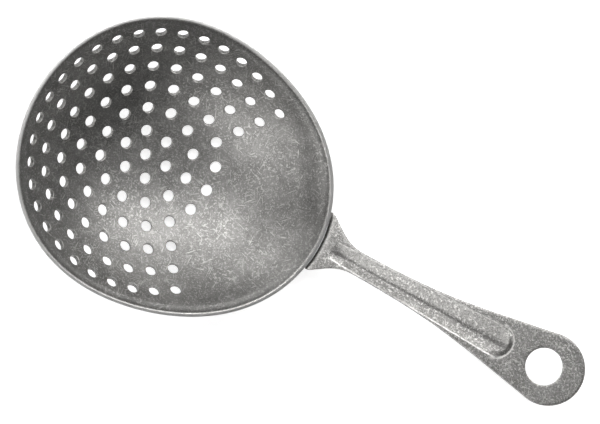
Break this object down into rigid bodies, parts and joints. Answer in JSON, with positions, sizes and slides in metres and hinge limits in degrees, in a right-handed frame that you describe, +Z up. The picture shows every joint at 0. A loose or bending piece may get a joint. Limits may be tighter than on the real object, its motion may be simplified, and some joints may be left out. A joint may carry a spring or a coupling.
{
  "type": "julep strainer",
  "caption": "Julep strainer: deep perforated egg-shaped bowl with a fluted handle welded under its rim and a hanging hole at the handle's end.",
  "frame": {"origin": "under the middle of the whole object, at the height of the table it lies on", "axes": "+X runs from the bowl out along the handle, +Z up from the table, as the strainer lies on its bowl with the open side up"},
  "size_m": [0.1643, 0.0776, 0.0337],
  "materials": {
    "tumbled_steel": "tumbled, antique-grey stainless steel with fine scratches and bright worn edges",
    "weld_metal": "tumbled stainless weld metal, slightly darker than the sheet"
  },
  "bodies": {
    "root": {"bowl": "tumbled_steel", "handle": "tumbled_steel", "weld_bead": "weld_metal"}
  },
  "joints": []
}
